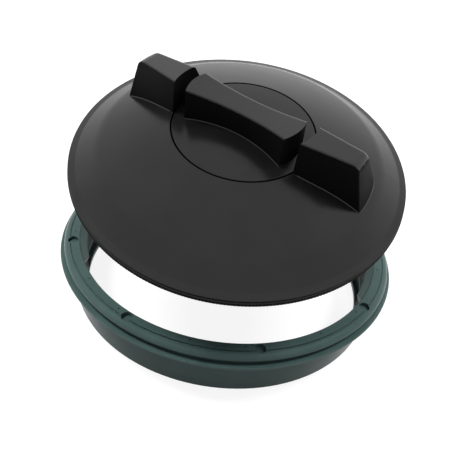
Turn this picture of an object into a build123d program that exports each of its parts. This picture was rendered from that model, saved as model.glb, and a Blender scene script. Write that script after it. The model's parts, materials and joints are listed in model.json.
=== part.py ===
"""Screw-down cover for a 355 mm tank manway: collar ring, domed lid with a two-winged handle,
lid seal, and a round centre cap with its own grip and seal.

Everything is modelled seated first, about one vertical axis, with z = 0 at the foot of the
collar. The last section lifts the lid and all that it carries to the opened place where it rests.
"""
from build123d import *
from math import cos, radians, sin, sqrt, tan
import os

# ---------------------------------------------------------------- driving dimensions (mm)
# Collar ring
bore_radius = 177.0            # inner wall of the collar
rim_width = 10.4               # flat top rim, from the bore to the step groove
collar_height = 66.5           # foot to the top of the flat rim
spigot_depth = 50.0            # skirt below the flange, which drops into the tank's opening
spigot_wall = 6.0
spigot_land = 10.0             # straight band under the flange that fits the opening
spigot_bulge = 0.5             # how far the skirt swells below the band
spigot_foot_taper = 1.0        # how far it draws in at its foot
lip_radius = 200.0             # thin outer lip that lies on the tank
lip_thickness = 3.0
bead_radius = 6.5              # rounded bead between the rim and the lip
bead_overhang = 4.0            # how far the bead stands out over the recess below it
groove_width = 1.2             # fine groove between the flat rim and the bead
groove_depth = 1.8
ledge_width = 9.4              # ledge at the foot of the bore
ledge_thickness = 5.0
ledge_corner = 2.4
rim_chamfer = 1.2
pocket_count = 8               # blind screw pockets round the rim
pocket_circle_radius = 185.0
pocket_radius = 6.0
pocket_depth = 4.2
pocket_start_angle = 15.0      # degrees from +X to the first pocket

# Interrupted buttress ribs that lock the lid in the collar
rib_sectors = 2                # groups of ribs round the bore
rib_sector_angle = 54.0        # degrees of wall that one group takes, at the bore
rib_run_in = 4.0               # degrees over which a rib rises to its full depth at each end
rib_depth = 8.0                # how far the collar's ribs stand in from the bore
rib_land = 1.5                 # height of a rib's tip
rib_flank_rise = 4.8           # height that the long sloped flank takes
rib_catch_rise = 1.4           # height that the nearly flat, locking flank takes
rib_pitch = 16.0               # from one row of ribs to the next
rib_first_drop = 6.0           # from the flat rim down to the top row's tip
collar_rib_rows = 3
lid_rib_rows = 1
lock_gap = 0.4                 # up and down, between a lid rib and a collar rib
skirt_gap = 3.5                # round the lid's skirt, inside the collar's ribs
rib_tip_gap = 4.0              # round the lid's ribs, inside the bore

# Lid shell
lid_overhang = 9.0              # how far the lid's edge reaches past the bore
brim_width = 8.0               # nearly flat outer part of the brim
brim_rise = 2.2                # and how much it climbs
lid_edge_thickness = 8.7
edge_lip_thickness = 2.4       # rounded lip at the top of the edge
edge_neck_height = 1.8         # fine recess below the lip
edge_neck_depth = 1.3
brow_round = 45.0              # soft turn from the dome into the brim
lid_wall = 4.5
skirt_wall = 4.0
skirt_drop = 20.8              # below the underside of the lid's edge
brow_inset = 31.0              # from the lid's edge in to where the dome turns down to the brim
brow_rise = 18.0               # above the lid's edge plane
crown_rise = 47.8              # height of the dome at the cap's groove, above the edge plane
dome_bulge = 1.6               # rise of the dome's arc over a straight line from brow to crown
cap_crown = 4.8                # how much higher the middle of the cap stands

# Lid seal, a flat ring in a groove under the lid's edge
seal_thickness = 4.0
seal_width = 10.0
seal_recess = 2.5              # depth of its groove
seal_seat_gap = 0.3            # left over the collar's rim with the lid seated
seal_rim_width = 2.5           # edge of the lid left outside the seal's groove
seal_side_gap = 0.2
seal_slack = 0.05              # left between a seal and the face that turns on it

# Handle: wings on the lid, and the grip between them on the centre cap
handle_angle = -26.6           # degrees from +X to the handle's line
wing_inset = 7.0               # from the brow in to where the wing's outer end meets the dome
wing_end_draft = 14.5          # degrees
wing_rise_inner = 87.5         # top of the handle over the lid's edge plane, at its front
wing_fall_out = 7.0            # degrees that the top of a wing falls outwards
handle_fall_back = 7.0         # degrees that the top of the handle falls towards the back
front_reach_inner = 28.0       # how far the handle's front stands from its line, beside the cap
front_reach_outer = 8.0        # and at the wing's outer end
back_reach = 16.0              # the top's back edge, from the handle's line
back_draft = 25.0              # degrees of slope down the back
handle_wall = 4.0
handle_edge_round = 1.6
wing_end_round = 12.0
handle_back_round = 7.0

# Centre cap
cap_radius = 76.0
cap_gap = 1.9                  # open groove round the cap
cap_plate = 5.0
cap_seat_width = 9.0           # shelf in the lid that the cap's seal lies on
cap_seal_thickness = 2.6
neck_wall = 4.0
neck_drop = 22.0               # threaded neck under the shelf
cap_thread_gap = 2.4           # between the cap's skirt and the neck, filled by their threads
cap_skirt_wall = 3.6
cap_skirt_drop = 16.0
grip_radius = 64.0             # the grip's ends, which pass inside the wings
grip_waist = 14.7              # the grip's front at the middle, from the handle's line
grip_waist_top = 17.0
grip_rise = 79.0               # top of the grip at its middle, over the lid's edge plane
grip_dish = 4.5                # how much higher its ends stand

# Opened place of the lid
lift_height = 105.0            # from seated to opened, at the lid's middle
lift_tilt = 13.0               # degrees, tipped towards the front


# ---------------------------------------------------------------- collar ring
flange_top = spigot_depth + lip_thickness
rim_outer = bore_radius + rim_width
bead_top = collar_height - 1.0
bead_centre = rim_outer + groove_width + 0.6
recess_radius = bead_centre + bead_radius - bead_overhang
skirt_top_radius = bore_radius + spigot_wall
skirt_foot_radius = skirt_top_radius - spigot_foot_taper
ledge_radius = bore_radius - ledge_width
rib_tip_radius = bore_radius - rib_depth
sector_pitch = 360 / rib_sectors


def rib_group(root_radius, tip_radius, tip_top, rows, upright):
    """Rows of buttress ribs on one sector of a wall, centred on +X. The locking flank faces down
    if the ribs stand upright, as on the collar, and up if not, as on the lid."""
    spread = tip_radius - root_radius
    with BuildPart() as group:
        for row in range(rows):
            top = tip_top - row * rib_pitch
            above, below = rib_flank_rise, -rib_catch_rise
            if not upright:
                above, below = -below, -above
            with BuildSketch(Plane.XZ):
                with BuildLine():
                    Polyline(
                        (root_radius, top + above), (tip_radius, top), (tip_radius, top - rib_land),
                        (root_radius, top - rib_land + below), close=True)
                make_face()
            revolve(axis=Axis.Z, revolution_arc=rib_sector_angle)
        # Slanted ends, so that the ribs run in and out of the wall
        span = rows * rib_pitch + rib_flank_rise
        for start, run in ((0, rib_run_in), (rib_sector_angle, -rib_run_in)):
            with BuildSketch(Plane.XY.offset(tip_top - span)):
                with BuildLine():
                    Polyline(
                        turned(root_radius - spread, start - run), turned(root_radius, start),
                        turned(tip_radius + spread / 2, start + run * 1.5),
                        turned(tip_radius + spread / 2, start - run), close=True)
                make_face()
            extrude(amount=span + rib_flank_rise + 1, mode=Mode.SUBTRACT)
    return group.part.rotate(Axis.Z, -rib_sector_angle / 2)


def turned(radius, angle):
    """The point at a radius and an angle from +X."""
    return (radius * cos(radians(angle)), radius * sin(radians(angle)))


with BuildPart() as collar_ring:
    with BuildSketch(Plane.XZ):
        with BuildLine():
            top = Polyline(
                (ledge_radius, 0), (ledge_radius, ledge_thickness),
                (bore_radius - ledge_corner, ledge_thickness),
                (bore_radius, ledge_thickness + ledge_corner),
                (bore_radius, collar_height - rim_chamfer), (bore_radius + rim_chamfer, collar_height),
                (rim_outer, collar_height), (rim_outer, collar_height - groove_depth),
                (rim_outer + groove_width, collar_height - groove_depth),
                (rim_outer + groove_width, bead_top), (bead_centre, bead_top))
            bead = RadiusArc(top @ 1, (bead_centre + bead_radius, bead_top - bead_radius), bead_radius)
            under = Polyline(
                bead @ 1, (recess_radius, bead_top - bead_radius - 1.0), (recess_radius, flange_top),
                (lip_radius - lip_thickness / 2, flange_top))
            lip = ThreePointArc(
                under @ 1, (lip_radius, spigot_depth + lip_thickness / 2),
                (lip_radius - lip_thickness / 2, spigot_depth))
            land = Polyline(
                lip @ 1, (skirt_top_radius, spigot_depth), (skirt_top_radius, spigot_depth - spigot_land))
            side = ThreePointArc(
                land @ 1, ((skirt_top_radius + skirt_foot_radius) / 2 + spigot_bulge,
                           (spigot_depth - spigot_land) / 2),
                (skirt_foot_radius, 1.5))
            Polyline(side @ 1, (skirt_foot_radius - 1.5, 0), (ledge_radius, 0))
        make_face()
    revolve(axis=Axis.Z)
    # Blind screw pockets, open towards the bead
    with BuildSketch(Plane.XY.offset(collar_height)):
        with PolarLocations(pocket_circle_radius, pocket_count, start_angle=pocket_start_angle):
            Circle(pocket_radius)
    extrude(amount=-pocket_depth, mode=Mode.SUBTRACT)
    # Rows of ribs in the bore, broken into sectors so that the lid's ribs can pass between them
    with PolarLocations(0, rib_sectors):
        add(rib_group(bore_radius, rib_tip_radius, collar_height - rib_first_drop, collar_rib_rows, True))


# ---------------------------------------------------------------- lid shell
lid_radius = bore_radius + lid_overhang
brow_radius = lid_radius - brow_inset
wing_foot_radius = brow_radius - wing_inset
lid_under = collar_height + seal_seat_gap + seal_thickness - seal_recess
edge_plane = lid_under + lid_edge_thickness
edge_lip_foot = edge_plane - edge_lip_thickness
edge_band_top = edge_lip_foot - edge_neck_height
brow_height = edge_plane + brow_rise
crown_height = edge_plane + crown_rise
skirt_outer = rib_tip_radius - skirt_gap
skirt_inner = skirt_outer - skirt_wall
skirt_foot = lid_under - skirt_drop
lid_rib_radius = bore_radius - rib_tip_gap
seal_outer = lid_radius - seal_rim_width
seal_inner = seal_outer - seal_width
cap_recess = cap_radius + cap_gap
shelf_height = crown_height - cap_plate - cap_seal_thickness
neck_inner = cap_recess - cap_seat_width
neck_outer = neck_inner + neck_wall
neck_foot = shelf_height - neck_drop


def handle_plane(height):
    """The level plane at a height, with its x axis along the handle and its y axis to the back."""
    x_dir = (cos(radians(handle_angle)), sin(radians(handle_angle)), 0)
    return Plane(origin=(0, 0, height), x_dir=x_dir, z_dir=(0, 0, 1))


def wing_form(wall):
    """One wing of the handle, drawn in by a wall on every side, or its full outside for a wall of 0."""
    low = edge_plane + brow_rise / 3
    high = edge_plane + wing_rise_inner + 4
    with BuildPart() as form:
        for height, bend in ((low, 1.0), (high, 0.0)):
            rise = height - edge_plane
            end_radius = wing_foot_radius - (rise - brow_rise) * tan(radians(wing_end_draft)) - wall
            back = back_reach + (wing_rise_inner - 4 - rise) * tan(radians(back_draft)) - wall
            outer = wall - front_reach_outer
            inner = wall - front_reach_inner
            start = sqrt(end_radius ** 2 - outer ** 2)
            root = cap_recess * 0.75
            third = (start - root) / 3
            with BuildSketch(handle_plane(height)):
                with BuildLine():
                    front = Bezier(
                        (start, outer), (start - third, outer + (1 - bend) * (inner - outer) / 3),
                        (root + third, inner - (1 - bend) * (inner - outer) / 3), (root, inner))
                    Polyline(front @ 1, (root, back), (sqrt(end_radius ** 2 - back ** 2), back))
                    RadiusArc((sqrt(end_radius ** 2 - back ** 2), back), front @ 0, end_radius)
                make_face()
        loft(ruled=True)
        top_point = handle_plane(edge_plane + wing_rise_inner - wall).from_local_coords(
            (cap_recess, -front_reach_inner, 0))
        along = handle_plane(0)
        upward = (along.z_dir + along.x_dir * tan(radians(wing_fall_out))
                  + along.y_dir * tan(radians(handle_fall_back)))
        split(bisect_by=Plane(origin=top_point, z_dir=upward), keep=Keep.BOTTOM)
        with BuildSketch(handle_plane(low)):
            Circle(cap_recess + wall)
        extrude(amount=high - low, mode=Mode.SUBTRACT)
        if wall == 0:
            # Round the top's outer end, then its back, then its front
            for reach, radius in ((along.x_dir, wing_end_round), (along.y_dir, handle_back_round),
                                  (-along.y_dir, handle_edge_round)):
                rim = form.faces().sort_by(Axis.Z)[-1].edges()
                fillet(rim.sort_by(Axis((0, 0, 0), reach))[-1], radius)
    return form.part


with BuildPart() as lid_shell:
    # Dome, brim and edge, solid at first
    with BuildSketch(Plane.XZ):
        with BuildLine():
            edge = Polyline(
                (0, lid_under), (lid_radius - 0.8, lid_under), (lid_radius, lid_under + 0.8),
                (lid_radius, edge_band_top - 0.6), (lid_radius - edge_neck_depth, edge_band_top),
                (lid_radius - edge_neck_depth, edge_lip_foot),
                (lid_radius - edge_lip_thickness / 2, edge_lip_foot))
            nose = ThreePointArc(
                edge @ 1, (lid_radius, edge_plane - edge_lip_thickness / 2),
                (lid_radius - edge_lip_thickness / 2, edge_plane))
            brim = Polyline(
                nose @ 1, (lid_radius - brim_width, edge_plane + brim_rise), (brow_radius, brow_height))
            dome = ThreePointArc(
                brim @ 1, ((brow_radius + cap_recess) / 2, (brow_height + crown_height) / 2 + dome_bulge),
                (cap_recess, crown_height))
            Polyline(dome @ 1, (cap_recess, shelf_height), (0, shelf_height), (0, lid_under))
        profile = make_face()
        fillet(profile.vertices().sort_by_distance((brow_radius, brow_height, 0))[0], brow_round)
    revolve(axis=Axis.Z)
    # The two wings
    add(wing_form(0))
    across = Plane(origin=(0, 0, 0), z_dir=handle_plane(0).x_dir)
    add(mirror(wing_form(0), about=across, mode=Mode.PRIVATE))
    # Hollow underside of the dome and of the wings
    with BuildSketch(Plane.XZ):
        with BuildLine():
            floor = Line((0, lid_under), (skirt_inner, lid_under))
            wall = Polyline(
                floor @ 1, (skirt_inner, edge_plane + 6), (brow_radius - 2, brow_height - lid_wall))
            inside = ThreePointArc(
                wall @ 1,
                ((brow_radius + cap_recess) / 2, (brow_height + crown_height) / 2 + dome_bulge - lid_wall),
                (cap_recess + lid_wall, crown_height - lid_wall - 1))
            Polyline(
                inside @ 1, (cap_recess + lid_wall, shelf_height - lid_wall),
                (0, shelf_height - lid_wall), (0, lid_under))
        make_face()
    revolve(axis=Axis.Z, mode=Mode.SUBTRACT)
    add(wing_form(handle_wall), mode=Mode.SUBTRACT)
    add(mirror(wing_form(handle_wall), about=across, mode=Mode.PRIVATE), mode=Mode.SUBTRACT)
    # Way through for the cap, with its threaded neck
    with BuildSketch(Plane.XY.offset(neck_foot)):
        Circle(neck_outer)
    extrude(amount=shelf_height - neck_foot)
    with BuildSketch(Plane.XY.offset(neck_foot)):
        Circle(neck_inner)
    extrude(amount=crown_height - neck_foot, mode=Mode.SUBTRACT)
    # Skirt, with the ribs that lock under the collar's
    with BuildSketch(Plane.XY.offset(skirt_foot)):
        Circle(skirt_outer)
        Circle(skirt_inner, mode=Mode.SUBTRACT)
    extrude(amount=lid_under - skirt_foot)
    catch_slope = rib_catch_rise / rib_depth
    catch_top = collar_height - rib_first_drop - rib_land - lock_gap
    with PolarLocations(0, rib_sectors, start_angle=sector_pitch / 2):
        lid_rib_top = catch_top - catch_slope * (lid_rib_radius - rib_tip_radius)
        add(rib_group(skirt_outer, lid_rib_radius, lid_rib_top, lid_rib_rows, False))
    # Groove for the seal
    with BuildSketch(Plane.XY.offset(lid_under)):
        Circle(seal_outer)
        Circle(seal_inner, mode=Mode.SUBTRACT)
    extrude(amount=seal_recess, mode=Mode.SUBTRACT)


# ---------------------------------------------------------------- lid seal
with BuildPart() as lid_seal:
    with BuildSketch(Plane.XY.offset(lid_under + seal_recess - seal_thickness)):
        Circle(seal_outer - seal_side_gap)
        Circle(seal_inner + seal_side_gap, mode=Mode.SUBTRACT)
    extrude(amount=seal_thickness - seal_slack)


# ---------------------------------------------------------------- centre cap
plate_foot = crown_height - cap_plate
cap_skirt_outer = neck_inner - cap_thread_gap


def grip_form(wall):
    """The middle of the handle, waisted for the fingers, drawn in by a wall, or full size for 0."""
    low = plate_foot
    high = edge_plane + wing_rise_inner + 4
    reach = grip_radius - wall
    with BuildPart() as form:
        for height, waist in ((low, grip_waist), (high, grip_waist_top)):
            rise = height - edge_plane
            back = back_reach + (wing_rise_inner - 4 - rise) * tan(radians(back_draft)) - wall
            front = front_reach_inner - 1 - wall
            with BuildSketch(handle_plane(height)):
                with BuildLine():
                    right = (sqrt(reach ** 2 - front ** 2), -front)
                    left = (-right[0], -front)
                    back_right = (sqrt(reach ** 2 - back ** 2), back)
                    back_left = (-back_right[0], back)
                    ThreePointArc(left, (0, wall - waist), right)
                    RadiusArc(right, back_right, -reach)
                    ThreePointArc(back_right, (0, back - 3), back_left)
                    RadiusArc(back_left, left, -reach)
                make_face()
        loft(ruled=True)
        # Dished top, falling towards the back
        level = handle_plane(edge_plane + grip_rise - wall)
        facing = Plane(level.origin, x_dir=level.x_dir,
                       z_dir=level.z_dir * tan(radians(handle_fall_back)) - level.y_dir)
        end_rise = grip_dish * (1.3 ** 2)
        with BuildSketch(facing):
            with BuildLine():
                dish = ThreePointArc((-1.3 * grip_radius, end_rise), (0, 0), (1.3 * grip_radius, end_rise))
                Polyline(
                    dish @ 1, (1.3 * grip_radius, grip_radius), (-1.3 * grip_radius, grip_radius), dish @ 0)
            make_face()
        extrude(amount=grip_radius, both=True, mode=Mode.SUBTRACT)
        if wall == 0:
            rim = form.faces().sort_by(Axis.Z)[-1].edges()
            along = Axis((0, 0, 0), level.y_dir)
            fillet(rim.sort_by(along)[-1], handle_back_round)
            rim = form.faces().sort_by(Axis.Z)[-1].edges()
            fillet(rim.sort_by(along)[0], handle_edge_round)
    return form.part


with BuildPart() as centre_cap:
    # Crowned plate and its threaded skirt
    with BuildSketch(Plane.XZ):
        with BuildLine():
            crown = ThreePointArc(
                (cap_radius, crown_height), (cap_radius * 0.5, crown_height + cap_crown * 0.75),
                (0, crown_height + cap_crown))
            Polyline(
                crown @ 1, (0, crown_height + cap_crown - cap_plate),
                (cap_skirt_outer - cap_skirt_wall, plate_foot),
                (cap_skirt_outer - cap_skirt_wall, plate_foot - cap_skirt_drop),
                (cap_skirt_outer, plate_foot - cap_skirt_drop), (cap_skirt_outer, plate_foot),
                (cap_radius, plate_foot), crown @ 0)
        make_face()
    revolve(axis=Axis.Z)
    # Grip, hollow from below, with a dished top
    add(grip_form(0))
    add(grip_form(handle_wall), mode=Mode.SUBTRACT)

with BuildPart() as cap_seal:
    with BuildSketch(Plane.XY.offset(shelf_height)):
        Circle(cap_radius - 0.6)
        Circle(neck_inner + 0.4, mode=Mode.SUBTRACT)
    extrude(amount=cap_seal_thickness - seal_slack)


# ---------------------------------------------------------------- opened place of the lid
# The lid leaves its seat straight up, on a wide circle about a line far in front of the collar.
swing_radius = lift_height / sin(radians(lift_tilt))
swing_line = Axis((0, -swing_radius, collar_height), (1, 0, 0))
for piece in (lid_shell, lid_seal, centre_cap, cap_seal):
    piece.part = piece.part.rotate(swing_line, lift_tilt)

os.makedirs("parts", exist_ok=True)
collar_ring.part.label = "collar_ring"
export_step(collar_ring.part, "parts/collar_ring.step")
lid_seal.part.label = "lid_seal"
export_step(lid_seal.part, "parts/lid_seal.step")
lid_shell.part.label = "lid_shell"
export_step(lid_shell.part, "parts/lid_shell.step")
cap_seal.part.label = "cap_seal"
export_step(cap_seal.part, "parts/cap_seal.step")
centre_cap.part.label = "centre_cap"
export_step(centre_cap.part, "parts/centre_cap.step")
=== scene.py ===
"""Looks of a screw-down tank manway cover: a dark green collar ring, a black domed lid with a
two-winged handle, and a centre cap with its own grip.

The solids come packed as a fixed frame, in metres with Z up. Each section below dresses one of
them and adds what is too fine for a solid. Its sizes are in millimetres with the cover closed,
and what sits on the lid is then carried to the opened place where the lid rests.
"""
import bpy
import json
import numpy as np
from math import pi, radians
from mathutils import Matrix, Vector


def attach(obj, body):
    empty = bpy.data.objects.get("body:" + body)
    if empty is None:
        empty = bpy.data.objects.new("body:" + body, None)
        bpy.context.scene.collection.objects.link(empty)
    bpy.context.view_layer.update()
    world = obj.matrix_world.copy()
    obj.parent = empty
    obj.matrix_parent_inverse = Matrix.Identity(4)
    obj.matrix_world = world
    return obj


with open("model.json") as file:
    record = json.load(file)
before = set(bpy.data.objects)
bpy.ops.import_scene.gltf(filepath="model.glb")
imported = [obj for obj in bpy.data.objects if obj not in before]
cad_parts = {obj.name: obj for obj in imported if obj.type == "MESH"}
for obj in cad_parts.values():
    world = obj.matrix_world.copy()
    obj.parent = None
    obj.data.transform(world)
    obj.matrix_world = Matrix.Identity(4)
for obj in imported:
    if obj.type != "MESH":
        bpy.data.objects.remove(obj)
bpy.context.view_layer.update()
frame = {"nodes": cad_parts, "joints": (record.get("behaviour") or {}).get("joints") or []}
scene = bpy.context.scene
MM = 0.001


# ---------------------------------------------------------------- collar ring
# The ring that stays on the tank: one moulding in dark green plastic, screwed down through the
# pockets of its rim. The mould's pins leave small round marks on the rim, one midway between
# two pockets and one beside each pocket; they are drawn as low black discs, painted shade of
# the marks' small hollows.
COLLAR_HEIGHT = 66.5
POCKET_COUNT = 8
FIRST_POCKET = 15.0            # degrees from +X
MIDWAY_MARK_RADIUS = 182.0     # from the collar's axis
BESIDE_MARK_RADIUS = 182.5
BESIDE_MARK_ANGLE = 4.5        # degrees before its pocket
MARK_SIZE = 0.9                # radius of a mark at its foot
MARK_TOP = 0.8                 # share of that radius at its top
MARK_HEIGHT = 0.12
MARK_SIDES = 16


def add(tree, kind, **values):
    """A new node, with its sockets or settings given by name."""
    node = tree.nodes.new(kind)
    for key, value in values.items():
        if key in node.inputs:
            node.inputs[key].default_value = value
        else:
            setattr(node, key, value)
    return node


def wire(tree, source, out, target, into):
    """Join one node's output to another's input, each by name or by number."""
    tree.links.new(source.outputs[out], target.inputs[into])


def new_material(name):
    """An empty material and its tree."""
    mat = bpy.data.materials.new(name)
    mat.use_nodes = True
    mat.node_tree.nodes.clear()
    return mat, mat.node_tree


def build_moulded_skin():
    """The skin of moulded plastic, shared by every plastic and rubber here. Two near tones lie in
    soft clouds. The roughness drifts between two values. The surface sinks slowly, carries the
    fine grain of the mould, and is rounded a little at its edges."""
    tree = bpy.data.node_groups.new("moulded_skin", "ShaderNodeTree")
    for name, kind in (("Tone", "NodeSocketColor"), ("Dark Tone", "NodeSocketColor"),
                       ("Smooth", "NodeSocketFloat"), ("Rough", "NodeSocketFloat"),
                       ("Grain Depth", "NodeSocketFloat"), ("Sink Depth", "NodeSocketFloat")):
        tree.interface.new_socket(name=name, in_out="INPUT", socket_type=kind)
    for name, kind in (("Color", "NodeSocketColor"), ("Roughness", "NodeSocketFloat"),
                       ("Normal", "NodeSocketVector")):
        tree.interface.new_socket(name=name, in_out="OUTPUT", socket_type=kind)
    given = add(tree, "NodeGroupInput")
    result = add(tree, "NodeGroupOutput")
    place = add(tree, "ShaderNodeTexCoord")

    cloud = add(tree, "ShaderNodeTexNoise", Scale=22.0, Detail=5.0, Roughness=0.6)
    wire(tree, place, "Object", cloud, "Vector")
    share = add(tree, "ShaderNodeMapRange")
    share.inputs["From Min"].default_value = 0.35
    share.inputs["From Max"].default_value = 0.65
    wire(tree, cloud, "Fac", share, "Value")
    tone = add(tree, "ShaderNodeMixRGB")
    wire(tree, share, "Result", tone, "Fac")
    wire(tree, given, "Dark Tone", tone, "Color1")
    wire(tree, given, "Tone", tone, "Color2")
    wire(tree, tone, "Color", result, "Color")

    drift = add(tree, "ShaderNodeTexNoise", Scale=95.0, Detail=4.0)
    wire(tree, place, "Object", drift, "Vector")
    gloss = add(tree, "ShaderNodeMapRange")
    wire(tree, given, "Smooth", gloss, "To Min")
    wire(tree, given, "Rough", gloss, "To Max")
    wire(tree, drift, "Fac", gloss, "Value")
    wire(tree, gloss, "Result", result, "Roughness")

    edge = add(tree, "ShaderNodeBevel", samples=4, Radius=0.0009)
    sink = add(tree, "ShaderNodeTexNoise", Scale=30.0, Detail=1.0)
    wire(tree, place, "Object", sink, "Vector")
    slow = add(tree, "ShaderNodeBump", Strength=0.5)
    wire(tree, given, "Sink Depth", slow, "Distance")
    wire(tree, sink, "Fac", slow, "Height")
    wire(tree, edge, "Normal", slow, "Normal")
    grain = add(tree, "ShaderNodeTexNoise", Scale=1300.0, Detail=2.0)
    wire(tree, place, "Object", grain, "Vector")
    fine = add(tree, "ShaderNodeBump", Strength=0.6)
    wire(tree, given, "Grain Depth", fine, "Distance")
    wire(tree, grain, "Fac", fine, "Height")
    wire(tree, slow, "Normal", fine, "Normal")
    wire(tree, fine, "Normal", result, "Normal")
    return tree


moulded_skin = build_moulded_skin()


def moulded(name, tone, dark_tone, roughness, grain_depth, sink_depth, shine):
    """A moulded material: the shared skin with its own values, and a plain shine."""
    mat, tree = new_material(name)
    skin = add(tree, "ShaderNodeGroup", node_tree=moulded_skin)
    for socket, value in (("Tone", (*tone, 1)), ("Dark Tone", (*dark_tone, 1)),
                          ("Smooth", roughness[0]), ("Rough", roughness[1]),
                          ("Grain Depth", grain_depth), ("Sink Depth", sink_depth)):
        skin.inputs[socket].default_value = value
    body = add(tree, "ShaderNodeBsdfPrincipled", IOR=1.5)
    body.inputs["Specular IOR Level"].default_value = shine
    wire(tree, skin, "Color", body, "Base Color")
    wire(tree, skin, "Roughness", body, "Roughness")
    wire(tree, skin, "Normal", body, "Normal")
    wire(tree, body, "BSDF", add(tree, "ShaderNodeOutputMaterial"), "Surface")
    return mat


def dress(node, *mats):
    """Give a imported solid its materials."""
    slots = frame["nodes"][node].data.materials
    slots.clear()
    for mat in mats:
        slots.append(mat)


def piece(name, points, faces, mat):
    """A new mesh from points in millimetres, in the frame's own place."""
    mesh = bpy.data.meshes.new(name)
    mesh.from_pydata((points * MM).tolist(), [], faces)
    mesh.validate()
    mesh.materials.append(mat)
    made = bpy.data.objects.new(name, mesh)
    scene.collection.objects.link(made)
    return made


def round_marks(radii, angles):
    """Low round marks on the rim. Each is a circle at the rim's height and a smaller one above
    it, both worked out as the mark's centre plus the cosine and sine of the angle round it, with
    a band of quads between them and a flat top."""
    turn = np.radians(angles)
    height = np.full_like(turn, COLLAR_HEIGHT)
    centres = np.stack([radii * np.cos(turn), radii * np.sin(turn), height], 1)
    around = np.arange(MARK_SIDES) * (2 * pi / MARK_SIDES)
    circle = np.stack([np.cos(around), np.sin(around), np.zeros(MARK_SIDES)], 1) * MARK_SIZE
    top = circle * MARK_TOP + (0, 0, MARK_HEIGHT)
    points = centres[:, None, :] + np.concatenate([circle, top])[None]
    first = (np.arange(len(centres)) * 2 * MARK_SIDES)[:, None, None]
    here = np.arange(MARK_SIDES)
    there = (here + 1) % MARK_SIDES
    band = np.stack([here, there, there + MARK_SIDES, here + MARK_SIDES], 1)
    tops = (first + MARK_SIDES + here).reshape(-1, MARK_SIDES)
    return points.reshape(-1, 3), (first + band).reshape(-1, 4).tolist() + tops.tolist()


collar_green = moulded("collar_green", (0.068, 0.114, 0.106), (0.056, 0.098, 0.091), (0.20, 0.29),
                       grain_depth=0.00002, sink_depth=0.0004, shine=0.12)
# The steep walls of the black mouldings come off a coarser face of the mould and shine less; their
# colour is also painted darker than the tops, as painted shade. The marks on the rim take this
# material too, as painted shade of their small hollows.
shaded_wall_black = moulded("shaded_side_black", (0.0036, 0.0038, 0.0036), (0.003, 0.0032, 0.003), (0.5, 0.6),
                     grain_depth=0.00008, sink_depth=0.0003, shine=0.04)
dress("collar_ring", collar_green)

pocket_angles = FIRST_POCKET + np.arange(POCKET_COUNT) * (360 / POCKET_COUNT)
midway_angles = pocket_angles + 180 / POCKET_COUNT
# Black discs: painted shade of the pin marks' small hollows.
pin_mark_shade = piece("rim_pin_mark_shade", *round_marks(
    np.repeat([MIDWAY_MARK_RADIUS, BESIDE_MARK_RADIUS], POCKET_COUNT),
    np.concatenate([midway_angles, pocket_angles - BESIDE_MARK_ANGLE])), shaded_wall_black)
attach(pin_mark_shade, "collar")


# ---------------------------------------------------------------- lid seal and cap seal
# Flat rings of black rubber, one under the lid's edge and one under the cap's. Each lies loose
# in its groove and is pressed flat when the part above it is turned home.
seal_black = moulded("seal_black", (0.012, 0.012, 0.012), (0.008, 0.008, 0.008), (0.5, 0.65),
                     grain_depth=0.00008, sink_depth=0.0002, shine=0.35)
dress("lid_seal", seal_black)
dress("cap_seal", seal_black)


# ---------------------------------------------------------------- lid shell
# The dome with the two wings of the handle: one moulding in black plastic with a satin top, and
# steep walls that shine less and are painted darker as painted shade. Fine upright teeth, with
# the same painted shade, run round the lower part of its edge, small fillets run along the
# wings' feet, and a thread in its neck takes the centre cap.
STEEP = 0.55                   # a wall is steep where its facing is less than this part upright
LEVEL = 0.75                   # and a top is level where its facing is more than this
LID_RADIUS = 186.0
TOOTH_COUNT = 340
TOOTH_DEPTH = 0.6
TOOTH_FLANK = 0.8              # share of the depth at a tooth's two flanks
TOOTH_END = 0.4                # and at the foot and the top of the band
TOOTH_SINK = 0.4               # how far the band of teeth reaches into the edge
TOOTH_FOOT = 68.7
TOOTH_TOP = 72.1
TOOTH_RUN_OUT = 0.5            # height over which a tooth runs out at each end
FILLET_SIZE = 0.7
CORNER_RISE = 0.01             # least rise of a wall's middle above the top it stands on
WINGS_FROM_RADIUS = 80.0
WINGS_FROM_HEIGHT = 92.0
NECK_RADIUS = 68.9
NECK_THREAD_FOOT = 97.5
THREAD_LEAD = 8.0
THREAD_CLIMB = 10.5            # from a thread's first point to its last
THREAD_DEPTH = 1.6
THREAD_SINK = 0.1              # how far a thread's root reaches into its wall
THREAD_SECTION = ((-1.5, 0), (-0.5, 1), (0.5, 1), (1.5, 0))    # height, and share of the depth
THREAD_RUN_IN = 1 / 8          # turns over which a thread rises to its full depth
THREAD_START = 0.02            # share of the depth at its very ends
THREAD_STEPS = 96              # in one turn


def find_lifted():
    """The move from the closed place to the opened one, from the hinge that stands for the lift."""
    lift = next(j for j in frame["joints"] if j["name"] == "lid_lift")
    pivot = Vector(lift["pos_m"])
    turn = Matrix.Rotation(radians(-lift["range_deg"][0]), 4, Vector(lift["axis"]))
    return Matrix.Translation(pivot) @ turn @ Matrix.Translation(-pivot)


lifted = find_lifted()
upright = np.array((lifted.to_3x3() @ Vector((0, 0, 1))).normalized())


def carried(points):
    """Points of the closed cover, in millimetres, carried to the opened place."""
    move = np.array(lifted)
    return points @ move[:3, :3].T + move[:3, 3] / MM


def face_values(mesh, what):
    """A vector of every face, as one array."""
    values = np.empty(len(mesh.polygons) * 3, np.float32)
    mesh.polygons.foreach_get(what, values)
    return values.reshape(-1, 3).astype(float)


def paint_shade_on_steep_walls(node):
    """Put a solid's second material, painted darker as painted shade, on the faces that stand steep
    to the lid's axis.
    """
    mesh = frame["nodes"][node].data
    steep = np.abs(face_values(mesh, "normal") @ upright) < STEEP
    mesh.polygons.foreach_set("material_index", steep.astype(np.int32))


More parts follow.
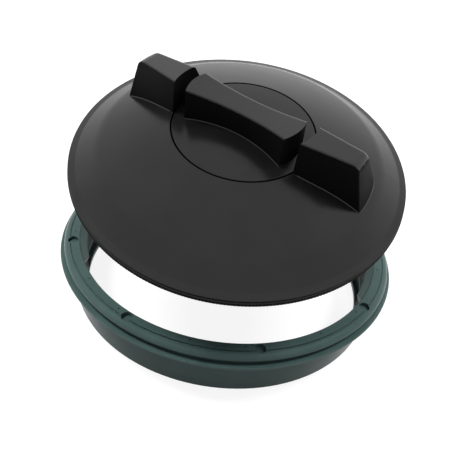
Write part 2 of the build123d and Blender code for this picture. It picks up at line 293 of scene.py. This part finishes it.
def swept(rings, closed, outwards):
    """Skin over rings of equal length, each joined to the next by quads. A closed sweep joins
    its last ring to its first, and an open one has a cap at each end."""
    count, size = rings.shape[:2]
    here = np.arange(count if closed else count - 1)[:, None] * size
    there = (here + size) % (count * size)
    low = np.arange(size)[None]
    high = (low + 1) % size
    quads = np.stack([here + low, here + high, there + high, there + low], -1).reshape(-1, 4)
    faces = quads.tolist()
    if not closed:
        faces += [list(range(size))[::-1], list(range((count - 1) * size, count * size))]
    if outwards:
        faces = [face[::-1] for face in faces]
    return rings.reshape(-1, 3), faces


def ring_points(radius, angle, height):
    """Points at a radius, an angle and a height: the radius times the cosine and the sine."""
    radius, angle, height = np.broadcast_arrays(radius, angle, height)
    return np.stack([radius * np.cos(angle), radius * np.sin(angle), height], -1)


def edge_teeth():
    """A band of fine upright teeth. Four steps round the lid make one tooth, low, rising, full
    and falling, and the section runs up the band with less depth at its foot and its top."""
    angle = np.arange(TOOTH_COUNT * 4) * (2 * pi / (TOOTH_COUNT * 4))
    depth = np.tile((0.0, TOOTH_FLANK, 1.0, TOOTH_FLANK), TOOTH_COUNT) * TOOTH_DEPTH
    inner = LID_RADIUS - TOOTH_SINK
    section = ((inner, 0, TOOTH_FOOT), (LID_RADIUS, TOOTH_END, TOOTH_FOOT),
               (LID_RADIUS, 1, TOOTH_FOOT + TOOTH_RUN_OUT),
               (LID_RADIUS, 1, TOOTH_TOP - TOOTH_RUN_OUT),
               (LID_RADIUS, TOOTH_END, TOOTH_TOP), (inner, 0, TOOTH_TOP))
    rings = [ring_points(radius + depth * share, angle, height)
             for radius, share, height in section]
    return swept(np.stack(rings, 1), closed=True, outwards=True)


def thread(root, depth, foot, start):
    """A right-handed thread, with a depth below zero inside a neck. The height grows evenly with
    the angle, by the lead in each turn, and the depth grows from nothing near each end."""
    turns = THREAD_CLIMB / THREAD_LEAD
    t = np.linspace(0, 1, int(turns * THREAD_STEPS) + 1)
    angle = start + 2 * pi * turns * t
    deep = depth * np.clip(np.minimum(t, 1 - t) * turns / THREAD_RUN_IN, THREAD_START, 1)
    rings = [ring_points(root + deep * share, angle, foot + THREAD_CLIMB * t + rise)
             for rise, share in THREAD_SECTION]
    return swept(np.stack(rings, 1), closed=False, outwards=depth > 0)


def foot_fillet(node, is_foot):
    """A small fillet in the corner between steep walls and the top that they stand on. Two faces
    meet in each edge of the solid's mesh. Where one is steep and the other level, and the steep
    one's middle lies above the level one, the edge is such a corner. A strip then joins a line
    a little way up the wall to a line as far out on the top. is_foot says which radii and
    heights of the closed cover belong to the handle's foot."""
    mesh = frame["nodes"][node].data
    spots = np.empty(len(mesh.vertices) * 3, np.float32)
    mesh.vertices.foreach_get("co", spots)
    corners = np.empty(len(mesh.loops), np.int32)
    mesh.loops.foreach_get("vertex_index", corners)
    spots = np.round(spots.reshape(-1, 3).astype(float), 6)     # to a thousandth of a millimetre
    spots, same = np.unique(spots, axis=0, return_inverse=True)
    corners = same.ravel()[corners].reshape(-1, 3)
    edges = np.sort(np.stack([corners, np.roll(corners, -1, 1)], -1).reshape(-1, 2), 1)
    owner = np.repeat(np.arange(len(corners)), 3)
    edges, which, count = np.unique(edges, axis=0, return_inverse=True, return_counts=True)
    owner = owner[np.argsort(which.ravel(), kind="stable")]
    start = np.cumsum(count) - count
    shared = count == 2
    pair = np.stack([owner[start[shared]], owner[start[shared] + 1]], 1)
    a, b = spots[edges[shared]].transpose(1, 0, 2)

    normals, centres = face_values(mesh, "normal"), face_values(mesh, "center")
    facing = (normals @ upright)[pair]
    order = np.argsort(facing, 1)
    wall, top = np.take_along_axis(pair, order, 1).T
    wall_facing, top_facing = np.take_along_axis(facing, order, 1).T
    middle = (a + b) / 2
    above = np.sum((centres[wall] - middle) * normals[top], 1)
    back = np.array(lifted.inverted())
    closed = (middle @ back[:3, :3].T + back[:3, 3]) / MM
    keep = ((np.abs(wall_facing) <= STEEP) & (top_facing >= LEVEL) & (above >= CORNER_RISE * MM)
            & is_foot(np.hypot(closed[:, 0], closed[:, 1]), closed[:, 2]))
    a, b, middle, wall, top = a[keep], b[keep], middle[keep], wall[keep], top[keep]

    along = (b - a) / np.linalg.norm(b - a, axis=1, keepdims=True)

    def away(face):
        reach = centres[face] - middle
        reach = reach - along * np.sum(reach * along, 1, keepdims=True)
        return reach / np.linalg.norm(reach, axis=1, keepdims=True) * FILLET_SIZE * MM

    up, out = away(wall), away(top)
    strip = np.stack([a + up, b + up, b + out, a + out], 1)
    strip_normal = np.cross(strip[:, 1] - strip[:, 0], strip[:, 2] - strip[:, 1])
    inwards = np.sum(strip_normal * (up + out), 1) < 0
    strip[inwards] = strip[inwards][:, ::-1]
    return strip.reshape(-1, 3) / MM, np.arange(len(strip) * 4).reshape(-1, 4).tolist()


lid_black = moulded("lid_black", (0.0085, 0.0087, 0.0085), (0.0065, 0.0067, 0.0065), (0.19, 0.25),
                    grain_depth=0.00006, sink_depth=0.0003, shine=0.33)
# The steep walls take the darker material: painted shade.
dress("lid_shell", lid_black, shaded_wall_black)
paint_shade_on_steep_walls("lid_shell")

teeth_points, teeth_faces = edge_teeth()
# The teeth take the darker steep-wall material: painted shade along the lid's edge.
teeth = piece("lid_edge_knurl", carried(teeth_points), teeth_faces, shaded_wall_black)
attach(teeth, "lid")

wing_fillet = piece("wing_foot_fillet", *foot_fillet(
    "lid_shell",
    lambda radius, height: (radius > WINGS_FROM_RADIUS) & (height > WINGS_FROM_HEIGHT)), lid_black)
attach(wing_fillet, "lid")

neck_points, neck_faces = thread(NECK_RADIUS + THREAD_SINK, -THREAD_DEPTH, NECK_THREAD_FOOT, pi)
neck_thread = piece("neck_thread", carried(neck_points), neck_faces, lid_black)
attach(neck_thread, "lid")


# ---------------------------------------------------------------- centre cap
# The round cap in the middle of the lid, with the waisted grip between the wings: the same black
# plastic, a little less shiny on its top. Its skirt carries the thread that screws into the
# lid's neck, and a small fillet runs along the grip's foot.
CAP_SKIRT_RADIUS = 66.5
CAP_THREAD_FOOT = 105.5
GRIP_TO_RADIUS = 68.0
GRIP_FROM_HEIGHT = 120.0

cap_black = moulded("cap_black", (0.0085, 0.0087, 0.0085), (0.0065, 0.0067, 0.0065), (0.19, 0.25),
                    grain_depth=0.00006, sink_depth=0.0003, shine=0.29)
# The cap's steep walls take the same darker material: painted shade.
dress("centre_cap", cap_black, shaded_wall_black)
paint_shade_on_steep_walls("centre_cap")

cap_points, cap_faces = thread(CAP_SKIRT_RADIUS - THREAD_SINK, THREAD_DEPTH, CAP_THREAD_FOOT, 0.0)
cap_thread = piece("cap_thread", carried(cap_points), cap_faces, cap_black)
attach(cap_thread, "cap")

grip_fillet = piece("grip_foot_fillet", *foot_fillet(
    "centre_cap",
    lambda radius, height: (radius < GRIP_TO_RADIUS) & (height > GRIP_FROM_HEIGHT)), cap_black)
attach(grip_fillet, "cap")


# ---------------------------------------------------------------- floor
# A wide sheet of matt paper. It takes the cover's soft shadow, and glows for the rays that show
# the backdrop, so that it comes out white.
FLOOR_SIZE = 8                 # metres
PAPER = 0.3                    # how much light the paper gives back
GLOW = 0.86


def shows_backdrop(tree):
    """1 for the rays that show the backdrop: straight to the camera, mirrored, or through glass."""
    path = add(tree, "ShaderNodeLightPath")
    first = add(tree, "ShaderNodeMath", operation="MAXIMUM")
    wire(tree, path, "Is Camera Ray", first, 0)
    wire(tree, path, "Is Glossy Ray", first, 1)
    either = add(tree, "ShaderNodeMath", operation="MAXIMUM")
    wire(tree, first, "Value", either, 0)
    wire(tree, path, "Is Transmission Ray", either, 1)
    return either


bpy.ops.mesh.primitive_plane_add(size=FLOOR_SIZE)
floor = bpy.context.object
floor.name = "studio_floor"
paper_white, tree = new_material("studio_floor")
paper = add(tree, "ShaderNodeBsdfDiffuse", Color=(PAPER, PAPER, PAPER, 1))
level = add(tree, "ShaderNodeMath", operation="MULTIPLY")
level.inputs[1].default_value = GLOW
wire(tree, shows_backdrop(tree), "Value", level, 0)
glow = add(tree, "ShaderNodeEmission")
wire(tree, level, "Value", glow, "Strength")
both = add(tree, "ShaderNodeAddShader")
wire(tree, paper, "BSDF", both, 0)
wire(tree, glow, "Emission", both, 1)
wire(tree, both, "Shader", add(tree, "ShaderNodeOutputMaterial"), "Surface")
floor.data.materials.append(paper_white)


# ---------------------------------------------------------------- light
# A plain soft sky, a little brighter towards the horizon and dimmer in front, with a soft lamp
# behind and above and one at each side. The sky is white for the rays that show the backdrop.
SKY_TOP = 0.60                 # strength straight up
SKY_EDGE = 0.80                # and at the horizon, in front or behind
SKY_SIDE_PULL = 0.4            # how much less the horizon counts at the sides
FRONT_DIM = 0.45               # share of the sky's strength that is left in front
DIM_FROM, DIM_TO = -0.7, 0.1   # the Y of a direction, from the dimmed front to the full back
LAMP_AIM = (0, 0, 0.1)
LAMP_WIDTH = 0.45
LAMPS = (("key", (0.19, 0.72, 1.52), 9.0), ("left_fill", (-0.85, -0.05, 1.25), 18.0),
         ("right_fill", (0.85, 0.05, 1.25), 14.0))

world = bpy.data.worlds.new("studio")
scene.world = world
world.use_nodes = True
sky = world.node_tree
sky.nodes.clear()
direction = add(sky, "ShaderNodeTexCoord")
level_part = add(sky, "ShaderNodeVectorMath", operation="MULTIPLY")
level_part.inputs[1].default_value = Vector((SKY_SIDE_PULL, 1.0, 0.0))
wire(sky, direction, "Generated", level_part, 0)
reach = add(sky, "ShaderNodeVectorMath", operation="LENGTH")
wire(sky, level_part, "Vector", reach, 0)
square = add(sky, "ShaderNodeMath", operation="POWER")
square.inputs[1].default_value = 2.0
wire(sky, reach, "Value", square, 0)
strength = add(sky, "ShaderNodeMapRange")
strength.inputs["To Min"].default_value = SKY_TOP
strength.inputs["To Max"].default_value = SKY_EDGE
wire(sky, square, "Value", strength, "Value")
split = add(sky, "ShaderNodeSeparateXYZ")
wire(sky, direction, "Generated", split, 0)
front = add(sky, "ShaderNodeMapRange")
front.inputs["From Min"].default_value = DIM_FROM
front.inputs["From Max"].default_value = DIM_TO
front.inputs["To Min"].default_value = FRONT_DIM
wire(sky, split, "Y", front, "Value")
dimmed = add(sky, "ShaderNodeMath", operation="MULTIPLY")
wire(sky, strength, "Result", dimmed, 0)
wire(sky, front, "Result", dimmed, 1)
soft = add(sky, "ShaderNodeBackground")
wire(sky, dimmed, "Value", soft, "Strength")
plain = add(sky, "ShaderNodeBackground", Color=(1, 1, 1, 1), Strength=1.0)
pick = add(sky, "ShaderNodeMixShader")
wire(sky, shows_backdrop(sky), "Value", pick, "Fac")
wire(sky, soft, "Background", pick, 1)
wire(sky, plain, "Background", pick, 2)
wire(sky, pick, "Shader", add(sky, "ShaderNodeOutputWorld"), "Surface")

for name, place, power in LAMPS:
    light = bpy.data.lights.new(name, "AREA")
    light.shape = "RECTANGLE"
    light.size = light.size_y = LAMP_WIDTH
    light.energy = power
    lamp = bpy.data.objects.new(name, light)
    scene.collection.objects.link(lamp)
    facing = (Vector(place) - Vector(LAMP_AIM)).to_track_quat("Z", "Y").to_matrix().to_4x4()
    lamp.matrix_world = Matrix.Translation(place) @ facing
    lamp.visible_glossy = False


# ---------------------------------------------------------------- camera
# It looks down on the front of the cover from a little over half a metre up.
CAMERA_PLACE = (0.00165, -0.68103, 0.58072)
CAMERA_RIGHT = (0.98998, 0.08639, 0.11167)
CAMERA_BACK = (0.00318, -0.80440, 0.59409)
LENS = 55.02
SENSOR_WIDTH = 36.0

camera = bpy.data.cameras.new("camera")
camera.lens = LENS
camera.sensor_width = SENSOR_WIDTH
eye = bpy.data.objects.new("camera", camera)
scene.collection.objects.link(eye)
right = Vector(CAMERA_RIGHT).normalized()
back = Vector(CAMERA_BACK)
back = (back - right * back.dot(right)).normalized()
view = Matrix((right, back.cross(right), back)).transposed().to_4x4()
view.translation = Vector(CAMERA_PLACE)
eye.matrix_world = view
scene.camera = eye
scene.view_settings.view_transform = "Standard"
